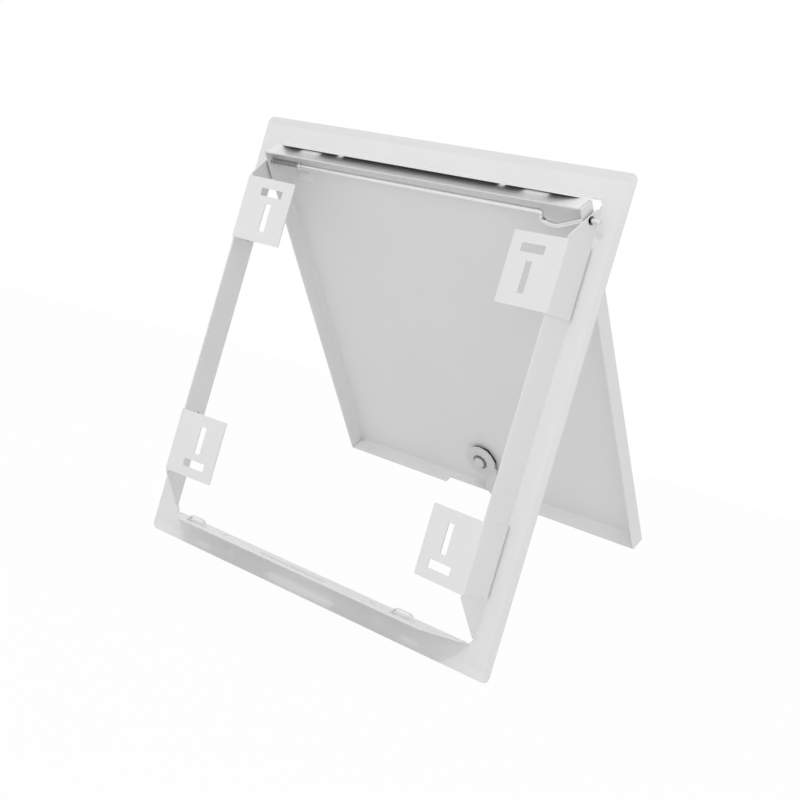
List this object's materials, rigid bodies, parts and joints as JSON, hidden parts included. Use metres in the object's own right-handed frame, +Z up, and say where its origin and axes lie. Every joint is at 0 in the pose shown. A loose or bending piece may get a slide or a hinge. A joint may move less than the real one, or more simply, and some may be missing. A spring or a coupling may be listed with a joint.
{
  "type": "flush access panel",
  "caption": "White steel 300 x 300 mm access panel: flanged frame with four fixing lugs and a top-hung tray door on a sprung rod, with a turn lock.",
  "frame": {"origin": "centre of the frame's opening in the plane of the flange's back face, which lies on the wall", "axes": "+Z up; -Y out of the wall into the room; +X to the right as seen from the room"},
  "size_m": [0.34, 0.2183, 0.34],
  "materials": {
    "white_steel": "satin",
    "zinc_wire": "satin",
    "dark_steel": "satin",
    "zinc_cast": "satin",
    "white_plastic": "matte"
  },
  "bodies": {
    "frame": {"frame": "white_steel", "lug_upper_left": "white_steel", "lug_upper_right": "white_steel", "lug_lower_left": "white_steel", "lug_lower_right": "white_steel"},
    "door": {"door": "white_steel", "lock_body": "zinc_cast", "lock_nut": "zinc_cast"},
    "rod": {"hinge_rod": "zinc_wire", "rod_clip": "dark_steel", "hinge_spring": "zinc_wire"},
    "lock": {"lock_spindle": "zinc_cast", "cam": "white_plastic", "cam_washer": "dark_steel", "cam_screw": "white_plastic"}
  },
  "joints": [
    {"name": "door_hinge", "type": "hinge", "parent": "frame", "child": "door", "pos_m": [0, 0.0076, 0.1346], "axis": [-1, 0, 0], "range_deg": [-43.5, 71.5]},
    {"name": "rod_slide", "type": "slide", "parent": "door", "child": "rod", "axis": [1, 0, 0], "range_m": [0, 0.012], "stiffness_N_per_m": 400, "springref_m": -0.02, "deforming": ["hinge_spring"]},
    {"name": "lock_turn", "type": "hinge", "parent": "door", "child": "lock", "pos_m": [0, -0.17348, -0.04372], "axis": [0, 0.7254, -0.6884], "range_deg": [-42, 48]}
  ]
}
